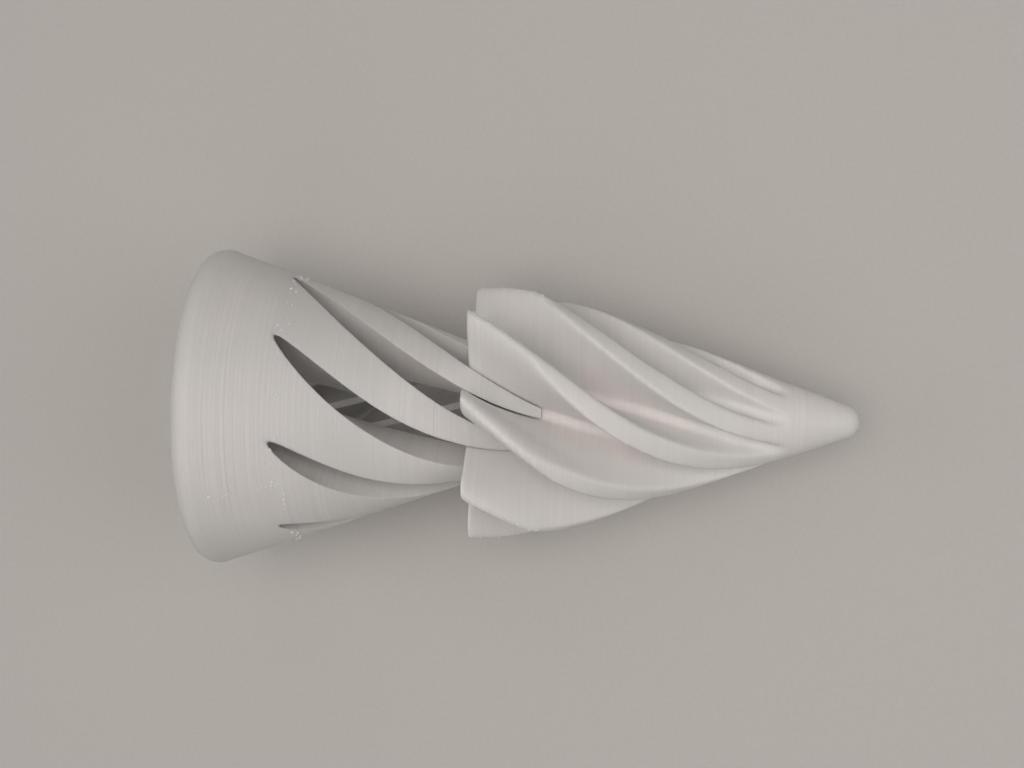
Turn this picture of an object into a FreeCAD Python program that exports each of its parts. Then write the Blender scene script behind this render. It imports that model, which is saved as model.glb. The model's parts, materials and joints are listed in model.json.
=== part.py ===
"""Pass-through screw cone: a slotted outer cone and a finned screw cone that winds through it.

Both pieces come from one rule.  A star of equal fins, twisted at one even rate about the axis, is cut
out of a plain cone, which leaves the slotted cone with its free, tapering fingers.  The same star, made
smaller by a running clearance and turned down to a cone, is the screw cone.  Because the twist is even,
the screw cone turns by a fixed angle for each millimetre that it travels, and passes right through.

Each piece is built about its own axis, +Z, with its wide end at 0.  The pair is then laid on its side:
the foot of the slotted cone and the fins of the screw cone rest on the plane Z = 0, and the axis runs
along +X, sloping down towards the nose.  Lengths are in millimetres and angles in degrees.
"""
import FreeCAD, Part
import math
import os
import Sketcher

Vector = FreeCAD.Vector
Rotation = FreeCAD.Rotation
Placement = FreeCAD.Placement
UP = Vector(0, 0, 1)
ORIGIN = Vector(0, 0, 0)

doc = FreeCAD.newDocument("screw_cone")

# ---------------------------------------------------------------- driving dimensions
DIMENSIONS = [
    # alias, value, meaning
    ("fin_count", 8, "fins on the screw cone, and slots in the slotted cone"),
    ("turn_length", 168.0, "length along the axis of one full turn of the twist"),
    ("cone_angle", 19.7, "half angle of both cones"),
    ("base_radius", 30.0, "slotted cone: radius of its foot, before the edge is rounded"),
    ("foot_fillet", 3.2, "slotted cone: rounding of that edge"),
    ("finger_reach", 61.5, "slotted cone: foot to the cut ends of the fingers"),
    ("fin_tip_radius", 22.9, "screw cone: axis to the crest of a fin"),
    ("fin_thickness", 4.5, "screw cone: fin thickness outside its root"),
    ("fin_root_thickness", 3.6, "screw cone: fin thickness at the core"),
    ("fin_full_radius", 13.5, "screw cone: radius where a fin reaches its full thickness"),
    ("crest_length", 4.8, "screw cone: length of the rounded crest of a fin"),
    ("core_radius", 6.8, "screw cone: radius of the core that joins the fins"),
    ("screw_length", 69.5, "screw cone: wide end to the end of the nose"),
    ("nose_radius", 3.1, "screw cone: radius of the ball that ends the nose"),
    ("nose_joint_radius", 6.0, "screw cone: radius where the plain nose begins"),
    ("side_clearance", 0.35, "gap on each side of a fin in its slot"),
    ("tip_clearance", 1.3, "gap beyond the crest of a fin"),
    ("core_clearance", 0.4, "gap around the core"),
    ("screw_reach", 48.5, "foot of the slotted cone to the wide end of the screw cone, at rest"),
    ("clocking", 24.2, "turn of the first slot about the axis, from straight up"),
]

sheet = doc.addObject("Spreadsheet::Sheet", "Dimensions")
for row, (alias, value, meaning) in enumerate(DIMENSIONS, start=1):
    sheet.set(f"A{row}", alias)
    sheet.set(f"B{row}", str(value))
    sheet.set(f"C{row}", meaning)
    sheet.setAlias(f"B{row}", alias)
doc.recompute()


def size(alias):
    """Value of one cell of the sheet."""
    return float(sheet.get(alias))


def cells(expression):
    """Expression on the sheet: cells("{core_radius} + 1") reads the cell core_radius."""
    return expression.format(**{alias: f"Dimensions.{alias}" for alias, value, meaning in DIMENSIONS})


def value(expression):
    """Number that an expression on the sheet gives."""
    return float(sheet.evalExpression(cells(expression)))


# Radius that both cones lose for each millimetre along the axis.
TAPER = "tan({cone_angle} * 1 deg)"
# Half the angle between two fins.
HALF_STEP = "(180 / {fin_count} * 1 deg)"
# Wide end of the screw cone to the sharp apex that its ball end rounds off.
APEX_REACH = "({screw_length} + {nose_radius} * (1 / sin({cone_angle} * 1 deg) - 1))"
# Wide end of the screw cone to the start of its plain nose.
NOSE_START = "(" + APEX_REACH + " - {nose_joint_radius} / " + TAPER + ")"

# Cutting shapes reach a little past what they cut.
PAST_END = "2"
PAST_SKIN = "3"
# A groove's section flares outside the cone by this share of half the angle between two fins.
FLARE = "1.2"
# A slot's section starts at this share of the core radius, well inside the bore.
INSIDE_BORE = "0.8"


# ---------------------------------------------------------------- helpers for bodies and sketches
def new_body(label):
    body = doc.addObject("PartDesign::Body", label)
    body.Label = label
    return body


def new_sketch(body, name, plane):
    """Empty sketch on one of the body's own origin planes."""
    sketch = body.newObject("Sketcher::SketchObject", name)
    support = [item for item in body.Origin.OriginFeatures if item.Role == plane][0]
    sketch.AttachmentSupport = [(support, "")]
    sketch.MapMode = "FlatFace"
    return sketch


def place_point(sketch, geometry, end, across, along):
    """Bind the two coordinates of a point to the sheet; None leaves one to its neighbours."""
    for kind, expression in (("DistanceX", across), ("DistanceY", along)):
        if expression == "0":
            axis = -2 if kind == "DistanceX" else -1
            sketch.addConstraint(Sketcher.Constraint("PointOnObject", geometry, end, axis))
        elif expression:
            constraint = Sketcher.Constraint(kind, -1, 1, geometry, end, value(expression))
            index = sketch.addConstraint(constraint)
            sketch.setExpression(f"Constraints[{index}]", cells(expression))


def outline(sketch, corners, curves=()):
    """Closed outline through corners, given as (across, along, free).

    free names a coordinate that the sketch works out for itself.  Sides are straight, except those
    that curves gives as side number: (arc, centre across, centre along)."""
    curves = dict(curves)
    points = [Vector(value(across), value(along), 0) for across, along, free in corners]
    count = len(points)
    for index in range(count):
        side = Part.LineSegment(points[index], points[(index + 1) % count])
        sketch.addGeometry(curves[index][0] if index in curves else side, False)
    for index, (across, along, free) in enumerate(corners):
        sketch.addConstraint(Sketcher.Constraint("Coincident", index, 2, (index + 1) % count, 1))
        place_point(sketch, index, 1, None if free == "across" else across,
                    None if free == "along" else along)
    for index, (arc, across, along) in curves.items():
        place_point(sketch, index, 3, across, along)


def circle_arc(across, along, radius, first, last):
    circle = Part.Circle(Vector(value(across), value(along), 0), UP, value(radius))
    return Part.ArcOfCircle(circle, value(first), value(last)), across, along


def turned(body, name, feature, corners, curves=()):
    """Outline in the XZ plane, its corners (radius, axial), turned once about the axis."""
    sketch = new_sketch(body, name + "_outline", "XZ_Plane")
    outline(sketch, corners, curves)
    turn = body.newObject(feature, name)
    turn.Profile = sketch
    turn.ReferenceAxis = (sketch, ["V_Axis"])
    turn.Angle = 360
    body.Tip = turn
    doc.recompute()


def twisted_cuts(body, name, draw_section, length):
    """Cut a twisted channel of the drawn section along the axis, once for each fin."""
    spine = new_sketch(body, name + "_spine", "XZ_Plane")
    spine.addGeometry(Part.LineSegment(ORIGIN, Vector(0, value(length), 0)), False)
    place_point(spine, 0, 1, "0", "0")
    place_point(spine, 0, 2, "0", length)
    guide = doc.addObject("Part::Helix", name + "_guide")
    guide.setExpression("Pitch", cells("{turn_length}"))
    guide.setExpression("Height", cells(length))
    guide.setExpression("Radius", cells("{fin_tip_radius}"))
    section = new_sketch(body, name + "_section", "XY_Plane")
    draw_section(section)
    doc.recompute()
    sweep = body.newObject("PartDesign::SubtractivePipe", name + "_sweep")
    sweep.Profile = section
    sweep.Spine = (spine, ["Edge1"])
    sweep.Mode = "Auxiliary"
    sweep.AuxiliarySpine = (guide, ["Edge1"])
    sweep.AuxiliaryCurvilinear = False
    ring = body.newObject("PartDesign::PolarPattern", name)
    ring.Originals = [sweep]
    ring.Axis = (section, ["N_Axis"])
    ring.Angle = 360
    ring.setExpression("Occurrences", cells("{fin_count}"))
    body.Tip = ring
    doc.recompute()


# ---------------------------------------------------------------- the slotted cone
def draw_slot(sketch):
    """Section of a slot along local +X: a fin's own section, grown by the running clearances."""
    half_root = "({fin_root_thickness} / 2 + {side_clearance})"
    half_full = "({fin_thickness} / 2 + {side_clearance})"
    tip = "({fin_tip_radius} + {tip_clearance})"
    shoulder = "(" + tip + " - {crest_length} - {side_clearance})"
    start = "({core_radius} * " + INSIDE_BORE + ")"
    crest = 2
    ellipse = Part.Ellipse(Vector(value(shoulder), 0, 0), value(tip + " - " + shoulder), value(half_full))
    outline(sketch, [
        (start, "-" + half_root, ""),
        ("{fin_full_radius}", "-" + half_full, ""),
        (shoulder, "-" + half_full, ""),
        (shoulder, half_full, "along"),
        ("{fin_full_radius}", half_full, ""),
        (start, half_root, ""),
    ], {crest: (Part.ArcOfEllipse(ellipse, -math.pi / 2, math.pi / 2), shoulder, "0")})
    major_axis = sketch.GeometryCount
    sketch.exposeInternalGeometry(crest)
    place_point(sketch, major_axis, 1, tip, "0")


def slotted_cone():
    """Plain cone with a rounded foot, less the twisted slots and the bore that joins them."""
    body = new_body("slotted_cone")
    lean = "cos({cone_angle} * 1 deg)"
    round_radius = "({base_radius} - {foot_fillet} * " + TAPER + " - {foot_fillet} / " + lean + ")"
    end_radius = "({base_radius} - {finger_reach} * " + TAPER + ")"
    touch = "(" + round_radius + " + {foot_fillet} * " + lean + ")"
    touch_height = "({foot_fillet} * (1 + sin({cone_angle} * 1 deg)))"
    rounding = circle_arc(round_radius, "{foot_fillet}", "{foot_fillet}", "-pi / 2", "{cone_angle} * pi / 180")
    turned(body, "plain_cone", "PartDesign::Revolution", [
        ("0", "0", ""),
        (round_radius, "0", ""),
        (touch, touch_height, "along"),
        (end_radius, "{finger_reach}", ""),
        ("0", "{finger_reach}", ""),
    ], {1: rounding})
    twisted_cuts(body, "slots", draw_slot, "({finger_reach} + " + PAST_END + ")")
    circle = new_sketch(body, "bore_circle", "XY_Plane")
    bore_radius = "({core_radius} + {core_clearance})"
    circle.addGeometry(Part.Circle(ORIGIN, UP, value(bore_radius)), False)
    place_point(circle, 0, 3, "0", "0")
    index = circle.addConstraint(Sketcher.Constraint("Radius", 0, value(bore_radius)))
    circle.setExpression(f"Constraints[{index}]", cells(bore_radius))
    bore = body.newObject("PartDesign::Pocket", "bore")
    bore.Profile = circle
    bore.Type = "ThroughAll"
    bore.Reversed = True
    body.Tip = bore
    doc.recompute()
    return body


# ---------------------------------------------------------------- the screw cone
def draw_groove(sketch):
    """Section of the groove between two fins, which stand half a step each side of local +X."""
    half_root = "({fin_root_thickness} / 2)"
    half_full = "({fin_thickness} / 2)"
    root_radius = "sqrt({core_radius} ^ 2 - " + half_root + " ^ 2)"
    shoulder = "({fin_tip_radius} - {crest_length})"
    outside = "(" + APEX_REACH + " * " + TAPER + " + " + PAST_SKIN + ")"
    flared = outside + " * tan(" + HALF_STEP + " * " + FLARE + ")"
    cosine = "cos(" + HALF_STEP + ")"
    sine = "sin(" + HALF_STEP + ")"

    def beside_fin(along_fin, off_fin, side, free=""):
        """Corner at a distance along a fin's middle plane and off it, towards the groove."""
        across = f"({along_fin} * {cosine} + {off_fin} * {sine})"
        along = f"({along_fin} * {sine} - {off_fin} * {cosine})"
        return across, along if side > 0 else "-" + along, free

    def crest(side):
        """Quarter ellipse of a fin's crest, from flank to tip on one fin and tip to flank on the other."""
        centre, tip, flank = (Vector(value(across), value(along), 0) for across, along, free in (
            beside_fin(shoulder, "0", side),
            beside_fin("{fin_tip_radius}", "0", side),
            beside_fin(shoulder, "-" + half_full if side > 0 else half_full, side)))
        ellipse = Part.Ellipse(tip, flank, centre)
        ends = (-math.pi / 2, 0) if side > 0 else (0, math.pi / 2)
        across, along, free = beside_fin(shoulder, "0", side)
        return Part.ArcOfEllipse(ellipse, *ends), across, along

    half_angle = "asin(" + half_root + " / {core_radius})"
    core_arc = circle_arc("0", "0", "{core_radius}",
                          "-(" + HALF_STEP + " - " + half_angle + ") * pi / 180 / (1 deg)",
                          "(" + HALF_STEP + " - " + half_angle + ") * pi / 180 / (1 deg)")
    upper_crest, lower_crest = 3, 7
    outline(sketch, [
        beside_fin(root_radius, half_root, -1, "across"),
        beside_fin(root_radius, half_root, 1),
        beside_fin("{fin_full_radius}", half_full, 1),
        beside_fin(shoulder, half_full, 1),
        beside_fin("{fin_tip_radius}", "0", 1),
        (outside, "(" + flared + ")", ""),
        (outside, "-(" + flared + ")", ""),
        beside_fin("{fin_tip_radius}", "0", -1),
        beside_fin(shoulder, half_full, -1),
        beside_fin("{fin_full_radius}", half_full, -1),
    ], {0: core_arc, upper_crest: crest(1), lower_crest: crest(-1)})
    for number, side in ((upper_crest, 1), (lower_crest, -1)):
        major_axis = sketch.GeometryCount
        sketch.exposeInternalGeometry(number)
        across, along, free = beside_fin("{fin_tip_radius}", "0", side)
        place_point(sketch, major_axis, 1, None, along)


def finned_cone():
    """Solid cone as far as the plain nose, less the grooves that leave its fins standing."""
    body = new_body("finned_cone")
    turned(body, "solid_cone", "PartDesign::Revolution", [
        ("0", "0", ""),
        ("(" + APEX_REACH + " * " + TAPER + ")", "0", ""),
        ("{nose_joint_radius}", NOSE_START, ""),
        ("0", NOSE_START, ""),
    ])
    twisted_cuts(body, "grooves", draw_groove, "(" + NOSE_START + " + " + PAST_END + ")")
    return body


def nose_tip():
    """Plain end of the screw cone: the cone runs on and ends in a ball."""
    body = new_body("nose_tip")
    touch_radius = "({nose_radius} * cos({cone_angle} * 1 deg))"
    touch_reach = "({screw_length} - {nose_radius} * (1 - sin({cone_angle} * 1 deg)))"
    centre = "({screw_length} - {nose_radius})"
    ball = circle_arc("0", centre, "{nose_radius}", "{cone_angle} * pi / 180", "pi / 2")
    turned(body, "nose", "PartDesign::Revolution", [
        ("0", NOSE_START, ""),
        ("{nose_joint_radius}", NOSE_START, ""),
        (touch_radius, touch_reach, ""),
        ("0", "{screw_length}", "along"),
    ], {2: ball})
    return body


shell = slotted_cone()
screw = finned_cone()
nose = nose_tip()


# ---------------------------------------------------------------- laying the pair down
def lie_tilt():
    """Slope of the axis at which the rounded foot and the lowest fin both touch the plane."""
    angle = math.radians(size("cone_angle"))
    taper = math.tan(angle)
    fillet = size("foot_fillet")
    foot_axial = fillet
    foot_radius = size("base_radius") - fillet * taper - fillet / math.cos(angle)
    apex = size("screw_length") + size("nose_radius") * (1 / math.sin(angle) - 1)
    rate = 360 / size("turn_length")
    spacing = 360 / size("fin_count")
    shoulder = size("fin_tip_radius") - size("crest_length")
    steps_along, steps_round = 200, 10
    close_enough = 1e-6

    def section_depth(from_down, limit):
        """Lowest point of a fin's section that stands from_down off the vertical, cut at a radius."""
        deepest = 0
        for step in range(steps_round + 1):
            turn = math.pi / 2 * step / steps_round
            across = shoulder + size("crest_length") * math.cos(turn)
            aside = size("fin_thickness") / 2 * math.sin(turn)
            radius = min(math.hypot(across, aside), limit)
            nearest = max(abs(from_down) - math.atan2(aside, across), 0)
            deepest = max(deepest, radius * math.cos(nearest))
        return deepest

    def lowest_fin(tilt):
        """Depth of the lowest fin below the axis, where the axis leaves the foot."""
        deepest = 0
        for step in range(steps_along + 1):
            reach = size("screw_length") * step / steps_along
            axial = size("screw_reach") + reach
            from_down = (size("clocking") + rate * axial - 180 + spacing / 2) % spacing - spacing / 2
            depth = section_depth(math.radians(from_down), (apex - reach) * taper)
            deepest = max(deepest, depth * math.cos(tilt) + axial * math.sin(tilt))
        return deepest

    low, high = 0.0, angle
    while high - low > close_enough:
        tilt = (low + high) / 2
        foot = foot_axial * math.sin(tilt) + foot_radius * math.cos(tilt) + fillet
        if lowest_fin(tilt) < foot:
            low = tilt
        else:
            high = tilt
    return math.degrees(tilt)


tilt = lie_tilt()
# Local +Z turns to world +X, sloping down by the tilt, and local +X turns to straight up from the axis.
lying = Rotation(Vector(0, 1, 0), 90 + tilt) * Rotation(UP, 180)
shell.Placement = Placement(ORIGIN, lying * Rotation(UP, size("clocking")))
# A slot is drawn on local +X and a groove too, so the screw cone's fins stand half a step round.
turn_at_rest = size("clocking") + 360 * size("screw_reach") / size("turn_length") + 180 / size("fin_count")
for piece in (screw, nose):
    start = lying.multVec(Vector(0, 0, size("screw_reach")))
    piece.Placement = Placement(start, lying * Rotation(UP, turn_at_rest))
doc.recompute()

pieces = [shell, screw, nose]
whole = Part.makeCompound([piece.Shape for piece in pieces]).optimalBoundingBox(False, False)
shift = Vector(-(whole.XMin + whole.XMax) / 2, -(whole.YMin + whole.YMax) / 2, -whole.ZMin)
for piece in pieces:
    piece.Placement = Placement(piece.Placement.Base + shift, piece.Placement.Rotation)
doc.recompute()

# ---------------------------------------------------------------- checks and files
for item in doc.Objects:
    if "Invalid" in item.State or "Error" in item.State:
        raise RuntimeError(f"{item.Name} did not build: {item.State}")

os.makedirs("parts", exist_ok=True)
for piece in pieces:
    solid = piece.Shape
    if solid.isNull() or not solid.isValid() or len(solid.Solids) != 1:
        raise RuntimeError(f"{piece.Label} is not one valid solid")
    solid.exportStep(f"parts/{piece.Label}.step")
    box = solid.optimalBoundingBox(False, False)
    print(f"{piece.Label}: {solid.Volume:.1f} mm3, x {box.XMin:.2f}..{box.XMax:.2f}, "
          f"y {box.YMin:.2f}..{box.YMax:.2f}, z {box.ZMin:.2f}..{box.ZMax:.2f}")

axis_direction = lying.multVec(UP)
foot_centre = shell.Placement.Base
rate = 360 / size("turn_length")
print(f"tilt {tilt:.3f} deg, axis {tuple(round(value, 6) for value in axis_direction)}")
print(f"foot centre {tuple(round(value, 3) for value in foot_centre)} mm")
print(f"twist {rate:.4f} deg/mm, {math.radians(rate) * 1000:.4f} rad/m")
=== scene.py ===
# %% [markdown]
# # Pass-through screw cone
# The toy is two prints in white plastic.  One is a cone with eight twisted slots, whose walls end in free
# tapering fingers.  The other is a smaller cone made of eight twisted fins.  The fins run in the slots, so
# the second cone turns as it slides, and it passes right through the first.
#
# Both are cut from one rule: a star of eight fins, twisted at an even rate.  Take the star out of a plain
# cone and the slotted cone is left; keep only the star and the screw cone is left.  Geometry Nodes suit
# such a rule, because the same node group can serve both pieces with different sizes.

# %% Load the fixed frame
import json
import math

import bpy
from mathutils import Matrix, Vector


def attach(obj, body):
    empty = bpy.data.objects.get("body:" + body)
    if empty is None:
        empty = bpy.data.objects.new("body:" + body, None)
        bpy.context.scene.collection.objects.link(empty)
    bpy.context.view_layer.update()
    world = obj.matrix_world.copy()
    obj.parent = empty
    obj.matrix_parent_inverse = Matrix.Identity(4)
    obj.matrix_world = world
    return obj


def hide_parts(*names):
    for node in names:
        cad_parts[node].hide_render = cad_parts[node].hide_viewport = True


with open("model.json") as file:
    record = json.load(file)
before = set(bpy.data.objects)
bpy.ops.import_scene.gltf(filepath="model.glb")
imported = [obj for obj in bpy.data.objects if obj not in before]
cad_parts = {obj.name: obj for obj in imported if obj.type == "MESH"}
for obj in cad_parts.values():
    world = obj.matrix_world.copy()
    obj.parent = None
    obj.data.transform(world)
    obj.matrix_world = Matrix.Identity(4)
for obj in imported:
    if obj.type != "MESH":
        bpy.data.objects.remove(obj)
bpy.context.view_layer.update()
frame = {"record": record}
MM = 0.001

# %% [markdown]
# ## Where the pieces lie
# The pair lies on its side, and its axis slopes down towards the nose.  The record of the frame states the
# axis, the middle of the foot and how far the screw cone turns for each metre that it slides.  Reading them
# there, rather than writing them again, keeps every piece on the joints.

# %% Read the axis and the twist
behaviour = frame["record"]["behaviour"]
turn_joint = next(joint for joint in behaviour["joints"] if joint["name"] == "screw_turn")
axis = Vector(turn_joint["axis"]).normalized()
foot_centre = Vector(turn_joint["pos_m"])
twist_rate = next(c["ratio"] for c in behaviour["couplings"] if c["joint"] == "screw_turn")
up_from_axis = axis.cross(Vector((0, 1, 0)))
print("axis", tuple(round(c, 4) for c in axis), "twist, degrees for 1 mm:",
      round(math.degrees(twist_rate) * MM, 3))


def lying(reach, turn):
    """Places a piece drawn upright on +Z: reach along the axis from the foot, turned about the axis."""
    place = Matrix((up_from_axis, Vector((0, -1, 0)), axis)).transposed().to_4x4()
    place.translation = foot_centre + axis * reach
    return place @ Matrix.Rotation(turn, 4, "Z")


# %% [markdown]
# ## Sizes of the two prints
# Every size is a length on the real object, in millimetres.  A slot is a fin with a clearance round it, so
# the slot's sizes are worked out from the fin's.

# %% Sizes
FIN_COUNT = 8
CONE_ANGLE = math.radians(19.7)
FOOT_RADIUS, FOOT_ROUNDING, FINGER_REACH = 30.0 * MM, 3.2 * MM, 61.5 * MM
FIN_TIP, FIN_CREST, FIN_THICKNESS = 22.9 * MM, 4.8 * MM, 4.5 * MM
ROOT_THICKNESS, FULL_RADIUS, CORE_RADIUS = 3.6 * MM, 13.5 * MM, 6.8 * MM
SCREW_LENGTH, NOSE_BALL, NOSE_JOINT_RADIUS = 69.5 * MM, 3.1 * MM, 6.0 * MM
SIDE_GAP, TIP_GAP, CORE_GAP = 0.35 * MM, 1.3 * MM, 0.4 * MM
SCREW_REACH = 48.5 * MM
CLOCKING = math.radians(24.2)
PRINTED_EDGE = 0.25 * MM

taper = math.tan(CONE_ANGLE)
apex_reach = SCREW_LENGTH + NOSE_BALL * (1 / math.sin(CONE_ANGLE) - 1)
nose_start = apex_reach - NOSE_JOINT_RADIUS / taper
print(f"screw cone: {apex_reach / MM:.1f} mm to its sharp apex, plain nose from {nose_start / MM:.1f} mm")

# %% [markdown]
# ## Camera
# The toy is seen from nearly straight above, from about 30 cm.  The camera is aimed at a point on the table
# close to the middle of the pair, leans towards the nose, and is rolled by a degree or so.

# %% Camera
CAMERA_DISTANCE = 313.6 * MM
CAMERA_LEAN = math.radians(10.9)
CAMERA_ROLL = math.radians(1.425)
AIM_OFFSET = Vector((-6.28, 5.31, 0)) * MM
camera_data = bpy.data.cameras.new("camera")
camera_data.lens = 56.25
camera_data.clip_start = 10 * MM
camera = bpy.data.objects.new("camera", camera_data)
bpy.context.collection.objects.link(camera)
camera_turn = Matrix.Rotation(CAMERA_LEAN, 4, "Y") @ Matrix.Rotation(CAMERA_ROLL, 4, "Z")
camera.matrix_world = (
    Matrix.Translation(AIM_OFFSET) @ camera_turn @ Matrix.Translation((0, 0, CAMERA_DISTANCE)))
bpy.context.scene.camera = camera
print("camera at, mm:", [round(c / MM, 1) for c in camera.matrix_world.translation])

# %% [markdown]
# ## One function for nodes, one for colours
# A node tree is a list of nodes and links.  One small function adds a node, sets its properties and fills
# its inputs, with a link where it is given a socket and a plain value elsewhere.  Colours are written as
# they are seen on a screen, in hex, and turned to the linear values that shaders need.


# %% Node and colour helpers
def add_node(tree, kind, inputs=(), **settings):
    """Adds a node with its settings; inputs, by order or by name, are sockets to link or values to set."""
    node = tree.nodes.new(kind)
    for name, setting in settings.items():
        setattr(node, name, setting)
    for key, item in inputs.items() if isinstance(inputs, dict) else enumerate(inputs):
        if isinstance(item, bpy.types.NodeSocket):
            tree.links.new(item, node.inputs[key])
        elif item is not None:
            node.inputs[key].default_value = item
    return node


def linear(hex_colour):
    """Linear RGBA of an sRGB colour written as six hex digits."""
    shares = [int(hex_colour[i:i + 2], 16) / 255 for i in (0, 2, 4)]
    return [s / 12.92 if s <= 0.04045 else ((s + 0.055) / 1.055) ** 2.4 for s in shares] + [1.0]


SOCKET_KINDS = {int: "NodeSocketInt", float: "NodeSocketFloat", tuple: "NodeSocketVector",
                bpy.types.Material: "NodeSocketMaterial"}


def new_tree(name, sizes, takes_geometry=False):
    """Empty Geometry Nodes tree with a named input for each size; gives its input and output nodes too."""
    tree = bpy.data.node_groups.new(name, "GeometryNodeTree")
    if takes_geometry:
        tree.interface.new_socket("Geometry", in_out="INPUT", socket_type="NodeSocketGeometry")
    for label, start in sizes.items():
        socket = tree.interface.new_socket(label, in_out="INPUT", socket_type=SOCKET_KINDS[type(start)])
        socket.default_value = start
    tree.interface.new_socket("Geometry", in_out="OUTPUT", socket_type="NodeSocketGeometry")
    return tree, add_node(tree, "NodeGroupInput").outputs, add_node(tree, "NodeGroupOutput").inputs


print("sRGB D8D4D2 in linear light:", [round(c, 3) for c in linear("D8D4D2")])

# %% [markdown]
# ## White PLA from a filament printer
# The plastic is PLA, laid down in layers 0.2 mm high across the axis.  Each layer leaves a fine line round
# the cone, some stronger than others, because the feed is never quite even.  The surface is matt with a
# faint sheen, slightly warm where the plastic is thick.  Real layer lines are too fine to show from 30 cm,
# so they are drawn twice as coarse.  A Mapping node turns the pattern to the axis: after it, X runs along
# the axis and one stretched noise gives lines that run on round the piece.
#
# A Bevel node rounds the slotted cone's sharp edges in the shading, and some light passes into its plastic.
# The screw cone and the blobs have neither.  The fins are rounded in their shape, and light inside the
# plastic would leave a dark seam where the nose meets the fins.


# %% PLA material
def printed_pla(name, body_colour, warm_colour, line_depth, edge, glow):
    """White PLA, fused-filament print, matt: layer lines across the axis, painted shade in their grooves, faint
    blotches, fine grain.
    """
    layer_line, line_run, blotch, grain = 0.42 * MM, 60 * MM, 22 * MM, 0.30 * MM
    material = bpy.data.materials.new(name)
    material.use_nodes = True
    tree = material.node_tree
    tree.nodes.clear()
    place = add_node(tree, "ShaderNodeTexCoord").outputs["Object"]
    along = add_node(tree, "ShaderNodeMapping",
                     {"Vector": place, "Rotation": (0, math.asin(axis.z), 0)}).outputs[0]
    stretched = add_node(tree, "ShaderNodeVectorMath", [along, (1 / layer_line, 1 / line_run, 1 / line_run)],
                         operation="MULTIPLY").outputs[0]
    lines = add_node(tree, "ShaderNodeTexNoise",
                     {"Vector": stretched, "Scale": 1.0, "Detail": 1.0}).outputs[0]
    patches = add_node(tree, "ShaderNodeTexNoise",
                       {"Vector": place, "Scale": 1 / blotch, "Detail": 2.0}).outputs[0]
    strength = add_node(tree, "ShaderNodeMapRange", [patches, 0.35, 0.65, 0.35, 1.0]).outputs[0]
    specks = add_node(tree, "ShaderNodeTexNoise",
                      {"Vector": place, "Scale": 1 / grain, "Detail": 2.0}).outputs[0]
    line_height = add_node(tree, "ShaderNodeMath", [lines, strength], operation="MULTIPLY").outputs[0]
    height = add_node(tree, "ShaderNodeMath",
                      [specks, 0.25, line_height], operation="MULTIPLY_ADD").outputs[0]
    worn = add_node(tree, "ShaderNodeBevel", {"Radius": edge}, samples=4).outputs[0]
    bump = add_node(tree, "ShaderNodeBump", {
        "Strength": 1.0, "Distance": line_depth, "Height": height, "Normal": worn}).outputs[0]
    warmth = add_node(tree, "ShaderNodeMapRange", [patches, 0.4, 0.62, 0.0, 1.0]).outputs[0]
    base = add_node(tree, "ShaderNodeMix", {0: warmth, 6: linear(body_colour), 7: linear(warm_colour)},
                    data_type="RGBA").outputs[2]
    # Painted shade: the colour is darkened down in each layer groove and lightened a little on its ridge,
    # following the bump's height.
    shade = add_node(tree, "ShaderNodeMapRange", [line_height, 0.1, 0.6, 0.95, 1.03]).outputs[0]
    lined_with_painted_shade = add_node(tree, "ShaderNodeMix", {0: 1.0, 6: base, 7: shade}, data_type="RGBA",
                     blend_type="MULTIPLY").outputs[2]
    rough = add_node(tree, "ShaderNodeMapRange", [lines, 0.3, 0.7, 0.46, 0.60]).outputs[0]
    surface = add_node(tree, "ShaderNodeBsdfPrincipled", {
        "Base Color": lined_with_painted_shade, "Roughness": rough, "Normal": bump, "IOR": 1.46,
        "Subsurface Weight": glow, "Subsurface Radius": (1.0, 0.97, 0.90), "Subsurface Scale": 1.5 * MM})
    add_node(tree, "ShaderNodeOutputMaterial", [surface.outputs[0]])
    return material


shell_pla = printed_pla("white_pla_slotted_cone", "DFDEDC", "E2DFDD", 0.16 * MM, 0.35 * MM, 0.25)
screw_pla = printed_pla("white_pla_screw_cone", "EAE8E6", "EDE9E7", 0.06 * MM, 0.0, 0.0)
# The blobs are the same plastic in a lighter colour: a painted highlight that keeps the small specks bright.
blob_pla_painted_highlight = printed_pla("white_pla_blobs_painted_highlight", "F2F2EF", "F2F2EF", 0.0, 0.0, 0.0)
print("materials:", [m.name for m in (shell_pla, screw_pla, blob_pla_painted_highlight)])

# %% [markdown]
# ## The twisted star
# The star is a tube of points whose distance round the tube says where each lies on the outline of a fin.
# From the middle of a fin outwards to the middle of a valley, a share called t runs from 0 to 1: round the
# crest, which is a quarter of an ellipse, down the flank to where the fin starts to thin, on to its root,
# and round the core.  Each stretch is blended in over its own part of t.  The outline is mirrored for the
# fin's other side, then turned by the fin's own angle and by the twist at that height.


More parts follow.
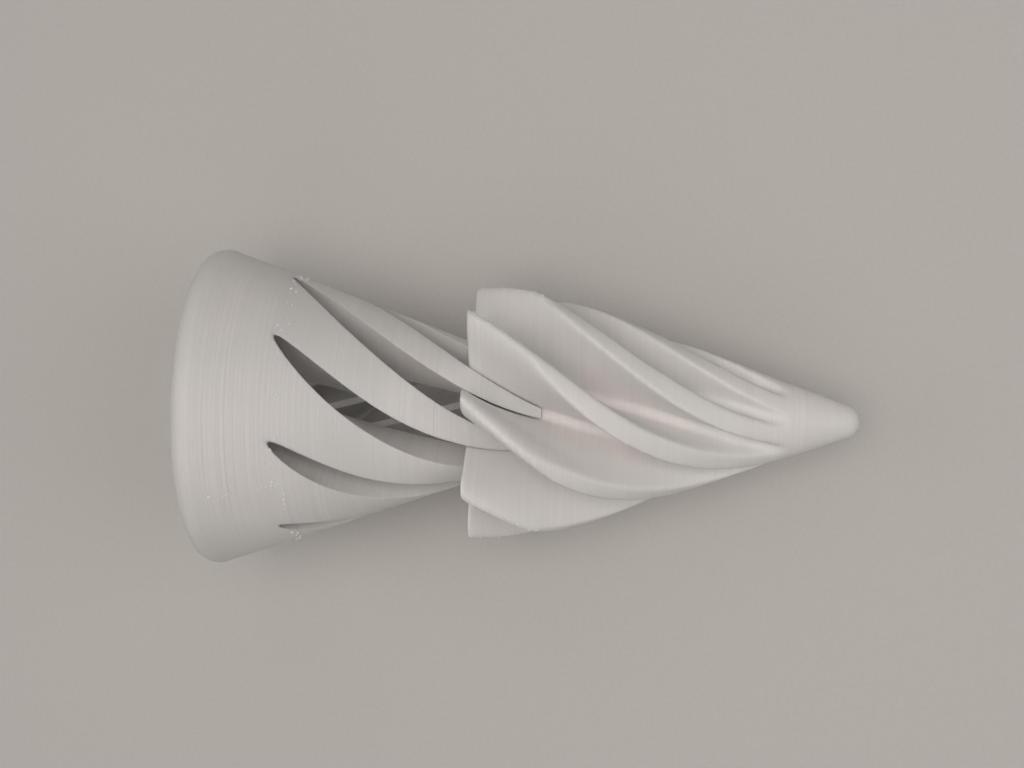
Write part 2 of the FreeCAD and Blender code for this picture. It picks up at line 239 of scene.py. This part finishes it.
# %% Node group: twisted star
def twisted_star_tree():
    tree, sizes, result = new_tree("twisted_star", {
        "Fins": 8, "Twist": 0.0, "Start": 0.0, "Length": 0.1, "Steps": 100,
        "Crest": 0.0, "Shoulder": (0.0, 0.0, 0.0), "Full": (0.0, 0.0, 0.0), "Root": (0.0, 0.0, 0.0)})
    half_side, crest_share, full_share, root_share = 24, 8 / 24, 13 / 24, 18 / 24
    round_count = add_node(tree, "ShaderNodeMath",
                           [sizes["Fins"], 2.0 * half_side], operation="MULTIPLY").outputs[0]
    tube = add_node(tree, "GeometryNodeMeshCylinder", {
        "Vertices": round_count, "Side Segments": sizes["Steps"], "Radius": 1.0, "Depth": sizes["Length"]},
        fill_type="TRIANGLE_FAN").outputs["Mesh"]
    spot = add_node(tree, "GeometryNodeInputPosition").outputs[0]
    parts = add_node(tree, "ShaderNodeSeparateXYZ", [spot]).outputs
    bearing = add_node(tree, "ShaderNodeMath", [parts["Y"], parts["X"]], operation="ARCTAN2").outputs[0]
    step = add_node(tree, "ShaderNodeMath", [math.tau, sizes["Fins"]], operation="DIVIDE").outputs[0]
    phase = add_node(tree, "ShaderNodeMath", [bearing, step], operation="DIVIDE").outputs[0]
    fin = add_node(tree, "ShaderNodeMath", [phase], operation="ROUND").outputs[0]
    offset = add_node(tree, "ShaderNodeMath", [phase, fin], operation="SUBTRACT").outputs[0]
    side = add_node(tree, "ShaderNodeMath", [offset], operation="SIGN").outputs[0]
    distance = add_node(tree, "ShaderNodeMath", [offset], operation="ABSOLUTE").outputs[0]
    share = add_node(tree, "ShaderNodeMath", [distance, 2.0], operation="MULTIPLY").outputs[0]

    # The crest: a quarter ellipse from the tip to the shoulder.
    swing = add_node(tree, "ShaderNodeMapRange", [share, 0.0, crest_share, 0.0, math.pi / 2]).outputs[0]
    outwards = add_node(tree, "ShaderNodeMath", [swing], operation="COSINE").outputs[0]
    aside = add_node(tree, "ShaderNodeMath", [swing], operation="SINE").outputs[0]
    bulge = add_node(tree, "ShaderNodeMath", [outwards, sizes["Crest"]], operation="MULTIPLY").outputs[0]
    bulge_vector = add_node(tree, "ShaderNodeCombineXYZ", [bulge]).outputs[0]
    squeeze = add_node(tree, "ShaderNodeCombineXYZ", [1.0, aside, 1.0]).outputs[0]
    crest = add_node(tree, "ShaderNodeVectorMath", [sizes["Shoulder"], squeeze, bulge_vector],
                     operation="MULTIPLY_ADD").outputs[0]

    # The flank, in two straight runs, then the valley floor round the core.
    to_full = add_node(tree, "ShaderNodeMapRange", [share, crest_share, full_share, 0.0, 1.0]).outputs[0]
    to_root = add_node(tree, "ShaderNodeMapRange", [share, full_share, root_share, 0.0, 1.0]).outputs[0]
    flank = add_node(tree, "ShaderNodeMix",
                     {0: to_full, 4: crest, 5: sizes["Full"]}, data_type="VECTOR").outputs[1]
    side_run = add_node(tree, "ShaderNodeMix",
                        {0: to_root, 4: flank, 5: sizes["Root"]}, data_type="VECTOR").outputs[1]
    root = add_node(tree, "ShaderNodeSeparateXYZ", [sizes["Root"]]).outputs
    root_bearing = add_node(tree, "ShaderNodeMath", [root["Y"], root["X"]], operation="ARCTAN2").outputs[0]
    half_step = add_node(tree, "ShaderNodeMath", [step, 2.0], operation="DIVIDE").outputs[0]
    floor_sweep = add_node(tree, "ShaderNodeMath", [half_step, root_bearing], operation="SUBTRACT").outputs[0]
    floor_turn = add_node(tree, "ShaderNodeMapRange", [share, root_share, 1.0, 0.0, floor_sweep]).outputs[0]
    outline = add_node(tree, "ShaderNodeVectorRotate", {"Vector": side_run, "Angle": floor_turn},
                       rotation_type="Z_AXIS").outputs[0]

    # Mirror it for the other side, and turn it by the fin's own angle and the twist at its height.
    mirror = add_node(tree, "ShaderNodeCombineXYZ", [1.0, side, 1.0]).outputs[0]
    sided = add_node(tree, "ShaderNodeVectorMath", [outline, mirror], operation="MULTIPLY").outputs[0]
    half_length = add_node(tree, "ShaderNodeMath", [sizes["Length"], 0.5, sizes["Start"]],
                           operation="MULTIPLY_ADD").outputs[0]
    height = add_node(tree, "ShaderNodeMath", [parts["Z"], half_length], operation="ADD").outputs[0]
    fin_angle = add_node(tree, "ShaderNodeMath", [fin, step], operation="MULTIPLY").outputs[0]
    angle = add_node(tree, "ShaderNodeMath",
                     [height, sizes["Twist"], fin_angle], operation="MULTIPLY_ADD").outputs[0]
    turned = add_node(tree, "ShaderNodeVectorRotate", {"Vector": sided, "Angle": angle},
                      rotation_type="Z_AXIS").outputs[0]
    flat_spot = add_node(tree, "ShaderNodeCombineXYZ", [parts["X"], parts["Y"]]).outputs[0]
    from_axis = add_node(tree, "ShaderNodeVectorMath", [flat_spot], operation="LENGTH").outputs["Value"]
    height_vector = add_node(tree, "ShaderNodeCombineXYZ", {"Z": height}).outputs[0]
    scaled = add_node(tree, "ShaderNodeVectorMath",
                      {0: turned, "Scale": from_axis}, operation="SCALE").outputs[0]
    final = add_node(tree, "ShaderNodeVectorMath", [scaled, height_vector], operation="ADD").outputs[0]
    shaped = add_node(tree, "GeometryNodeSetPosition", {"Geometry": tube, "Position": final}).outputs[0]
    tree.links.new(shaped, result["Geometry"])
    return tree


star_tree = twisted_star_tree()
print("twisted_star has", len(star_tree.nodes), "nodes")

# %% [markdown]
# ## The plain cone
# Each print starts as a plain cone with a rounded foot.  It could be lathed from a drawn profile, but as a
# tube of points it takes two formulas: the first share of its height follows the rounding, an arc from the
# flat foot up to where it meets the slope, and the rest follows the slope.


# %% Node group: plain cone
def plain_cone_tree():
    tree, sizes, result = new_tree("plain_cone", {
        "Length": 0.1, "Foot Radius": 0.03, "Rounding": 0.001, "Slope": 0.3, "Steps": 100})
    rounding_share, around = 0.12, 320
    tube = add_node(tree, "GeometryNodeMeshCylinder", {
        "Vertices": around, "Side Segments": sizes["Steps"], "Radius": 1.0, "Depth": 1.0},
        fill_type="TRIANGLE_FAN").outputs["Mesh"]
    spot = add_node(tree, "ShaderNodeSeparateXYZ",
                    [add_node(tree, "GeometryNodeInputPosition").outputs[0]]).outputs
    share = add_node(tree, "ShaderNodeMath", [spot["Z"], 0.5], operation="ADD").outputs[0]
    swing = add_node(tree, "ShaderNodeMapRange",
                     [share, 0.0, rounding_share, -math.pi / 2, sizes["Slope"]]).outputs[0]
    climb = add_node(tree, "ShaderNodeMapRange", [share, rounding_share, 1.0, 0.0, 1.0]).outputs[0]

    # The rounding's centre stands in from the sharp corner by what the arc and the slope take up.
    cosine = add_node(tree, "ShaderNodeMath", [sizes["Slope"]], operation="COSINE").outputs[0]
    tangent = add_node(tree, "ShaderNodeMath", [sizes["Slope"]], operation="TANGENT").outputs[0]
    secant = add_node(tree, "ShaderNodeMath", [1.0, cosine], operation="DIVIDE").outputs[0]
    inset = add_node(tree, "ShaderNodeMath", [tangent, secant], operation="ADD").outputs[0]
    inset_size = add_node(tree, "ShaderNodeMath", [inset, sizes["Rounding"]], operation="MULTIPLY").outputs[0]
    centre = add_node(tree, "ShaderNodeMath",
                      [sizes["Foot Radius"], inset_size], operation="SUBTRACT").outputs[0]
    out = add_node(tree, "ShaderNodeMath", [swing], operation="COSINE").outputs[0]
    rise = add_node(tree, "ShaderNodeMath", [swing], operation="SINE").outputs[0]
    arc_radius = add_node(tree, "ShaderNodeMath",
                          [out, sizes["Rounding"], centre], operation="MULTIPLY_ADD").outputs[0]
    arc_height = add_node(tree, "ShaderNodeMath", [rise, sizes["Rounding"], sizes["Rounding"]],
                          operation="MULTIPLY_ADD").outputs[0]

    # Above the rounding the height runs on to the full length, and the radius follows the slope.
    height = add_node(tree, "ShaderNodeMix", {0: climb, 2: arc_height, 3: sizes["Length"]},
                      data_type="FLOAT").outputs[0]
    sloped = add_node(tree, "ShaderNodeMath", [height, tangent], operation="MULTIPLY").outputs[0]
    slope_radius = add_node(tree, "ShaderNodeMath",
                            [sizes["Foot Radius"], sloped], operation="SUBTRACT").outputs[0]
    above = add_node(tree, "ShaderNodeMath", [climb, 0.0], operation="GREATER_THAN").outputs[0]
    radius = add_node(tree, "ShaderNodeMix", {0: above, 2: arc_radius, 3: slope_radius},
                      data_type="FLOAT").outputs[0]
    across_x = add_node(tree, "ShaderNodeMath", [spot["X"], radius], operation="MULTIPLY").outputs[0]
    across_y = add_node(tree, "ShaderNodeMath", [spot["Y"], radius], operation="MULTIPLY").outputs[0]
    final = add_node(tree, "ShaderNodeCombineXYZ", [across_x, across_y, height]).outputs[0]
    shaped = add_node(tree, "GeometryNodeSetPosition", {"Geometry": tube, "Position": final}).outputs[0]
    tree.links.new(shaped, result["Geometry"])
    return tree


cone_tree = plain_cone_tree()
print("plain_cone has", len(cone_tree.nodes), "nodes")

# %% [markdown]
# ## Star and cone put together
# Two more trees join the groups.  One takes the star out of the cone, and the other keeps what the star and
# the cone share.  Both use the Manifold solver, which is quick and exact on closed meshes.  Edges sharper
# than a set angle are then marked, so that slot edges stay crisp while the long surfaces shade smoothly.


# %% Trees for the two prints
CREASE, WELD = math.radians(32), 2e-6


def carved_cone_tree(name, operation):
    star_sizes = {"Fins": 8, "Twist": 0.0, "Start": 0.0, "Star Length": 0.1, "Star Steps": 100, "Crest": 0.0,
                  "Shoulder": (0.0, 0.0, 0.0), "Full": (0.0, 0.0, 0.0), "Root": (0.0, 0.0, 0.0)}
    cone_sizes = {"Cone Length": 0.1, "Foot Radius": 0.03, "Rounding": 0.001, "Slope": 0.3, "Cone Steps": 100}
    tree, sizes, result = new_tree(name, star_sizes | cone_sizes | {"Finish": shell_pla})
    star = add_node(tree, "GeometryNodeGroup", node_tree=star_tree)
    for label in star_sizes:
        tree.links.new(sizes[label], star.inputs[label.replace("Star ", "")])
    cone = add_node(tree, "GeometryNodeGroup", node_tree=cone_tree)
    for label in cone_sizes:
        tree.links.new(sizes[label], cone.inputs[label.replace("Cone ", "")])
    carve = add_node(tree, "GeometryNodeMeshBoolean", operation=operation, solver="MANIFOLD")
    tree.links.new(star.outputs[0], carve.inputs["Mesh 2"])
    tree.links.new(cone.outputs[0], carve.inputs["Mesh 1" if operation == "DIFFERENCE" else "Mesh 2"])
    merged = add_node(tree, "GeometryNodeMergeByDistance",
                      {"Geometry": carve.outputs["Mesh"], "Distance": WELD})
    bend = add_node(tree, "GeometryNodeInputMeshEdgeAngle").outputs["Unsigned Angle"]
    sharp = add_node(tree, "ShaderNodeMath", [bend, CREASE], operation="GREATER_THAN").outputs[0]
    smooth = add_node(tree, "GeometryNodeSetShadeSmooth",
                      {"Geometry": merged.outputs[0], "Shade Smooth": True})
    creased = add_node(tree, "GeometryNodeSetShadeSmooth", {
        "Geometry": smooth.outputs[0], "Selection": sharp, "Shade Smooth": False}, domain="EDGE")
    whole = add_node(tree, "GeometryNodeRealizeInstances", [creased.outputs[0]])
    painted = add_node(tree, "GeometryNodeSetMaterial",
                       {"Geometry": whole.outputs[0], "Material": sizes["Finish"]})
    tree.links.new(painted.outputs[0], result["Geometry"])
    return tree


# %% [markdown]
# ## Growing the two prints
# Each tree is run once with a piece's own sizes, and its result is kept as a plain mesh.  The printer leaves
# the fins soft, so the screw cone gets an even skin of small squares, which is then rubbed round.  It runs
# on a little way under the nose, where its rounded end doesn't show.


# %% Grow the prints
def grow(name, tree, values, start=None):
    """Runs a tree with these values, on a start mesh if it takes one; its result is a plain mesh object."""
    piece = bpy.data.objects.new(name, start or bpy.data.meshes.new(name))
    bpy.context.collection.objects.link(piece)
    modifier = piece.modifiers.new("shape", "NODES")
    modifier.node_group = tree
    for item in tree.interface.items_tree:
        if item.in_out == "INPUT" and item.name in values:
            modifier[item.identifier] = values[item.name]
    graph = bpy.context.evaluated_depsgraph_get()
    mesh = bpy.data.meshes.new_from_object(piece.evaluated_get(graph), depsgraph=graph)
    piece.modifiers.clear()
    piece.data = mesh
    print(f"{name}: {len(mesh.vertices)} points, {len(mesh.polygons)} faces")
    return piece


def soften(piece, grid, rounds, kept):
    """Gives the piece an even skin of small squares, then rubs its edges round beyond its flat wide end."""
    rub = piece.vertex_groups.new(name="rub")
    for kind, settings in (
            ("REMESH", {"mode": "VOXEL", "voxel_size": grid, "use_smooth_shade": True}),
            ("SMOOTH", {"factor": RUB_STRENGTH, "iterations": rounds, "vertex_group": "rub"})):
        modifier = piece.modifiers.new(kind.lower(), kind)
        for name, setting in settings.items():
            setattr(modifier, name, setting)
        graph = bpy.context.evaluated_depsgraph_get()
        mesh = bpy.data.meshes.new_from_object(piece.evaluated_get(graph), depsgraph=graph)
        piece.modifiers.clear()
        piece.data = mesh
        if kind == "REMESH":
            rub.add([v.index for v in mesh.vertices if v.co.z > kept], 1.0, "REPLACE")
    print(f"{piece.name}: {len(piece.data.polygons)} faces after softening")


def fin_outline(side_gap, tip_gap, core_gap):
    """Points of half a fin's section, grown by these gaps, as the star tree's inputs take them."""
    half_full = FIN_THICKNESS / 2 + side_gap
    half_root = ROOT_THICKNESS / 2 + side_gap
    tip = FIN_TIP + tip_gap
    shoulder = tip - FIN_CREST - side_gap
    core = CORE_RADIUS + core_gap
    return {"Crest": tip - shoulder, "Shoulder": (shoulder, half_full, 0.0),
            "Full": (FULL_RADIUS, half_full, 0.0), "Root": (math.sqrt(core ** 2 - half_root ** 2), half_root, 0.0)}


PAST_END = 1 * MM
SKIN_GRID, RUB_ROUNDS, RUB_STRENGTH = 0.46 * MM, 9, 0.5
slotted_cone = grow("printed_slotted_cone", carved_cone_tree("slotted_cone_shape", "DIFFERENCE"), {
    "Fins": FIN_COUNT, "Twist": twist_rate, "Start": -PAST_END, "Star Length": FINGER_REACH + 2 * PAST_END,
    "Star Steps": 130, "Cone Length": FINGER_REACH, "Foot Radius": FOOT_RADIUS, "Rounding": FOOT_ROUNDING,
    "Slope": CONE_ANGLE, "Cone Steps": 120, "Finish": shell_pla} | fin_outline(SIDE_GAP, TIP_GAP, CORE_GAP))
finned_cone = grow("printed_finned_cone", carved_cone_tree("finned_cone_shape", "INTERSECT"), {
    "Fins": FIN_COUNT, "Twist": twist_rate, "Start": -PAST_END, "Star Length": nose_start + 3 * PAST_END,
    "Star Steps": 120, "Cone Length": nose_start + PAST_END, "Foot Radius": apex_reach * taper,
    "Rounding": PRINTED_EDGE, "Slope": CONE_ANGLE, "Cone Steps": 110, "Finish": screw_pla} | fin_outline(0, 0, 0))
soften(finned_cone, SKIN_GRID, RUB_ROUNDS, SKIN_GRID)

# %% [markdown]
# ## The plain nose
# The fins run out into a plain cone that ends in a ball.  It is round, so it is lathed: a profile of a few
# points, the ball's arc worked out by its formula, is turned once about the axis and closed at its poles.
# Its lower end starts sunk inside the screw cone and rises to the surface, so no edge shows.


# %% Turned nose
LATHE_CREASE = math.radians(10)


def turned_piece(name, profile, material, around=160):
    """Lathes a profile of (radius, height) points, whose first and last points are on the axis."""
    points = [(0, 0, profile[0][1])]
    for radius, height in profile[1:-1]:
        for step in range(around):
            angle = math.tau * step / around
            points.append((radius * math.cos(angle), radius * math.sin(angle), height))
    points.append((0, 0, profile[-1][1]))
    last = len(points) - 1
    rings = len(profile) - 2
    faces = []
    for step in range(around):
        after = (step + 1) % around
        faces.append((0, 1 + after, 1 + step))
        for ring in range(rings - 1):
            low, high = 1 + ring * around, 1 + (ring + 1) * around
            faces.append((low + step, low + after, high + after, high + step))
        faces.append((last - around + step, last - around + after, last))
    mesh = bpy.data.meshes.new(name)
    mesh.from_pydata(points, [], faces)
    mesh.materials.append(material)
    mesh.shade_smooth()
    mesh.set_sharp_from_angle(angle=LATHE_CREASE)
    piece = bpy.data.objects.new(name, mesh)
    bpy.context.collection.objects.link(piece)
    print(f"{name}: {len(points)} points")
    return piece


NOSE_LAP, NOSE_SINK = 1.5 * MM, 0.4 * MM
ball_centre = SCREW_LENGTH - NOSE_BALL
lap_start = nose_start - NOSE_LAP
lap_radius = (apex_reach - lap_start) * taper - NOSE_SINK
ARC_STEPS, SLOPE_STEPS = 14, 8
ball_arc = [CONE_ANGLE + (math.pi / 2 - CONE_ANGLE) * step / ARC_STEPS for step in range(ARC_STEPS + 1)]
ball = [(NOSE_BALL * math.cos(a), ball_centre + NOSE_BALL * math.sin(a)) for a in ball_arc]
slope = [(NOSE_JOINT_RADIUS + (ball[0][0] - NOSE_JOINT_RADIUS) * step / SLOPE_STEPS,
          nose_start + (ball[0][1] - nose_start) * step / SLOPE_STEPS) for step in range(SLOPE_STEPS)]
nose = turned_piece("printed_nose", [(0, lap_start), (lap_radius, lap_start)] + slope + ball, screw_pla)

# %% [markdown]
# ## Blobs left by the nozzle
# Where a layer starts, the nozzle leaves a speck of plastic.  On the slotted cone they gather in a ring,
# where the slots begin and each layer breaks up into islands, and in a row along the seam of the foot.  On
# the screw cone they roughen the crests near the wide end.  The tree scatters points over the piece, keeps
# those on the outer skin in a named band, and sets a small ball on each, sunk to its middle.


# %% Blob tree
SMALLEST_BLOB = 0.45


def print_blobs_tree():
    tree, sizes, result = new_tree("print_blobs", {
        "Band Low": 0.0, "Band High": 0.01, "Foot Radius": 0.03, "Slope": 0.3,
        "Seam Angle": 0.0, "Seam Half": 1.0,
        "Skin": 0.0003, "Density": 1.0, "Blob": 0.0002, "Seed": 1, "Finish": blob_pla_painted_highlight}, takes_geometry=True)
    spot = add_node(tree, "ShaderNodeSeparateXYZ",
                    [add_node(tree, "GeometryNodeInputPosition").outputs[0]]).outputs
    flat_spot = add_node(tree, "ShaderNodeCombineXYZ", [spot["X"], spot["Y"]]).outputs[0]
    radius = add_node(tree, "ShaderNodeVectorMath", [flat_spot], operation="LENGTH").outputs["Value"]
    tangent = add_node(tree, "ShaderNodeMath", [sizes["Slope"]], operation="TANGENT").outputs[0]
    drop = add_node(tree, "ShaderNodeMath", [spot["Z"], tangent], operation="MULTIPLY").outputs[0]
    cone_radius = add_node(tree, "ShaderNodeMath",
                           [sizes["Foot Radius"], drop], operation="SUBTRACT").outputs[0]
    outer = add_node(tree, "ShaderNodeMath",
                     [radius, cone_radius, sizes["Skin"]], operation="COMPARE").outputs[0]
    above = add_node(tree, "ShaderNodeMath",
                     [spot["Z"], sizes["Band Low"]], operation="GREATER_THAN").outputs[0]
    below = add_node(tree, "ShaderNodeMath",
                     [spot["Z"], sizes["Band High"]], operation="LESS_THAN").outputs[0]
    bearing = add_node(tree, "ShaderNodeMath", [spot["Y"], spot["X"]], operation="ARCTAN2").outputs[0]
    seam = add_node(tree, "ShaderNodeMath", [bearing, sizes["Seam Angle"], sizes["Seam Half"]],
                    operation="COMPARE").outputs[0]
    in_band = add_node(tree, "ShaderNodeMath", [above, below], operation="MULTIPLY").outputs[0]
    on_skin = add_node(tree, "ShaderNodeMath", [outer, seam], operation="MULTIPLY").outputs[0]
    chosen = add_node(tree, "ShaderNodeMath", [in_band, on_skin], operation="MULTIPLY").outputs[0]
    scattered = add_node(tree, "GeometryNodeDistributePointsOnFaces", {
        "Mesh": sizes["Geometry"], "Density": sizes["Density"], "Seed": sizes["Seed"]}).outputs["Points"]
    missed = add_node(tree, "ShaderNodeMath", [chosen, 0.5], operation="LESS_THAN").outputs[0]
    kept = add_node(tree, "GeometryNodeDeleteGeometry", {"Geometry": scattered, "Selection": missed},
                    domain="POINT").outputs[0]
    ball = add_node(tree, "GeometryNodeMeshIcoSphere",
                    {"Radius": sizes["Blob"], "Subdivisions": 2}).outputs["Mesh"]
    smooth = add_node(tree, "GeometryNodeSetShadeSmooth", {"Geometry": ball, "Shade Smooth": True}).outputs[0]
    swell = add_node(tree, "FunctionNodeRandomValue", {2: SMALLEST_BLOB, 3: 1.0, "Seed": sizes["Seed"]},
                     data_type="FLOAT").outputs[1]
    dotted = add_node(tree, "GeometryNodeInstanceOnPoints",
                      {"Points": kept, "Instance": smooth, "Scale": swell})
    whole = add_node(tree, "GeometryNodeRealizeInstances", [dotted.outputs[0]]).outputs[0]
    painted = add_node(tree, "GeometryNodeSetMaterial",
                       {"Geometry": whole, "Material": sizes["Finish"]}).outputs[0]
    tree.links.new(painted, result["Geometry"])
    return tree


PER_MM2 = 1e6
EVERY_ANGLE = math.pi
blob_tree = print_blobs_tree()
shell_skin = {"Foot Radius": FOOT_RADIUS, "Slope": CONE_ANGLE, "Skin": 0.15 * MM, "Finish": blob_pla_painted_highlight}
slot_start = (FOOT_RADIUS - FIN_TIP - TIP_GAP) / taper
start_blobs = grow("slot_start_blobs", blob_tree, shell_skin | {
    "Band Low": slot_start + 0.3 * MM, "Band High": slot_start + 2.2 * MM, "Seam Half": EVERY_ANGLE,
    "Density": 0.35 * PER_MM2, "Blob": 0.26 * MM, "Seed": 4}, slotted_cone.data)
seam_blobs = grow("seam_blobs", blob_tree, shell_skin | {
    "Band Low": 5 * MM, "Band High": 24 * MM, "Seam Angle": math.radians(9), "Seam Half": 0.016,
    "Density": 2.0 * PER_MM2, "Blob": 0.20 * MM, "Seed": 7}, slotted_cone.data)
crest_blobs = grow("crest_blobs", blob_tree, {
    "Band Low": 1 * MM, "Band High": 24 * MM, "Foot Radius": FIN_TIP, "Slope": 0.0, "Skin": 0.5 * MM,
    "Seam Half": EVERY_ANGLE, "Density": 1.6 * PER_MM2, "Blob": 0.16 * MM, "Seed": 9, "Finish": blob_pla_painted_highlight},
    finned_cone.data)

# %% [markdown]
# ## Lay the pieces down
# Everything was drawn upright on its own axis, which keeps the formulas short.  Now each piece's points are
# moved to where it lies in the pair, so that its object stays at the origin.

# %% Lay down
shell_place = lying(0, CLOCKING)
screw_place = lying(SCREW_REACH, CLOCKING + twist_rate * SCREW_REACH)
for piece, place in ((slotted_cone, shell_place), (start_blobs, shell_place), (seam_blobs, shell_place),
                     (finned_cone, screw_place), (crest_blobs, screw_place), (nose, screw_place)):
    piece.data.transform(place)
print("middle of the wide end of the screw cone, mm:", [round(c / MM, 2) for c in screw_place.translation])

# %% [markdown]
# ## Each piece on its body
# The slotted cone stays still, the nose slides along the axis and the finned cone turns as it goes.  The
# main printed pieces stand for the plain solids of the same bodies, which are hidden.

# %% Ride and replace
for piece, body, slot in ((slotted_cone, "outer_cone", "slotted_cone_print"),
                          (start_blobs, "outer_cone", "slotted_cone_print"),
                          (seam_blobs, "outer_cone", "slotted_cone_print"),
                          (finned_cone, "screw_cone", "screw_cone_print"),
                          (crest_blobs, "screw_cone", "screw_cone_print"),
                          (nose, "screw_nose", "screw_cone_print")):
    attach(piece, body)
    print(piece.name, "rides on", body)
for piece, node in ((slotted_cone, "slotted_cone"), (finned_cone, "finned_cone"), (nose, "nose_tip")):
    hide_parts(node)

# %% [markdown]
# ## Table top
# The table is a plain pale grey with a very fine grain.


# %% Table top
def table_material():
    """Painted laminate, matt: plain grey with a very fine grain."""
    material = bpy.data.materials.new("grey_laminate")
    material.use_nodes = True
    tree = material.node_tree
    tree.nodes.clear()
    place = add_node(tree, "ShaderNodeTexCoord").outputs["Object"]
    grain = add_node(tree, "ShaderNodeTexNoise",
                     {"Vector": place, "Scale": 1 / (0.8 * MM), "Detail": 3.0}).outputs[0]
    tone = add_node(tree, "ShaderNodeMix", {0: grain, 6: linear("C3C0BC"), 7: linear("CCC9C5")},
                    data_type="RGBA").outputs[2]
    surface = add_node(tree, "ShaderNodeBsdfPrincipled", {"Base Color": tone, "Roughness": 0.6})
    add_node(tree, "ShaderNodeOutputMaterial", [surface.outputs[0]])
    return material


TABLE_HALF = 3.0
table_mesh = bpy.data.meshes.new("table_top")
table_mesh.from_pydata([(-TABLE_HALF, -TABLE_HALF, 0), (TABLE_HALF, -TABLE_HALF, 0),
                        (TABLE_HALF, TABLE_HALF, 0), (-TABLE_HALF, TABLE_HALF, 0)], [], [(0, 1, 2, 3)])
table_mesh.materials.append(table_material())
table_top = bpy.data.objects.new("table_top", table_mesh)
bpy.context.collection.objects.link(table_top)
print("table top laid at height 0")

# %% [markdown]
# ## Light
# The light comes mostly from a broad panel overhead, so sides that slope away grow darker and the shadow is
# soft all round.  Four weaker panels, one from each side, open up the valleys between the fins.  The warm
# tint is in the overhead lamp and not in the plastic, whose colour would build up between the fins.


# %% Lights
def soft_light(name, spot, width, power, colour):
    """Square area light at spot, aimed at the middle of the pair."""
    data = bpy.data.lights.new(name, "AREA")
    data.size = width
    data.energy = power
    data.color = linear(colour)[:3]
    light = bpy.data.objects.new(name, data)
    light.location = spot
    light.rotation_euler = (-Vector(spot)).to_track_quat("-Z", "Y").to_euler()
    bpy.context.collection.objects.link(light)


LIGHT_WIDTH, SKY_STRENGTH = 0.6, 0.16
for name, spot, power, colour in (
        ("ceiling", (0, 0, 0.9), 3.1, "FFF6F3"), ("near_side", (0, -0.6, 0.6), 0.55, "FAFAF5"),
        ("far_side", (0, 0.6, 0.6), 0.4, "FAFAF5"), ("foot_side", (-0.7, 0, 0.5), 0.9, "FAFAF5"),
        ("nose_side", (0.6, 0, 0.6), 1.25, "FAFAF5")):
    soft_light(name, spot, LIGHT_WIDTH, power, colour)
world = bpy.data.worlds.new("room")
world.use_nodes = True
world.node_tree.nodes["Background"].inputs["Color"].default_value = linear("F2F1F0")
world.node_tree.nodes["Background"].inputs["Strength"].default_value = SKY_STRENGTH
bpy.context.scene.world = world
bpy.context.scene.view_settings.view_transform = "Standard"
print("lights:", [light.name for light in bpy.data.lights])
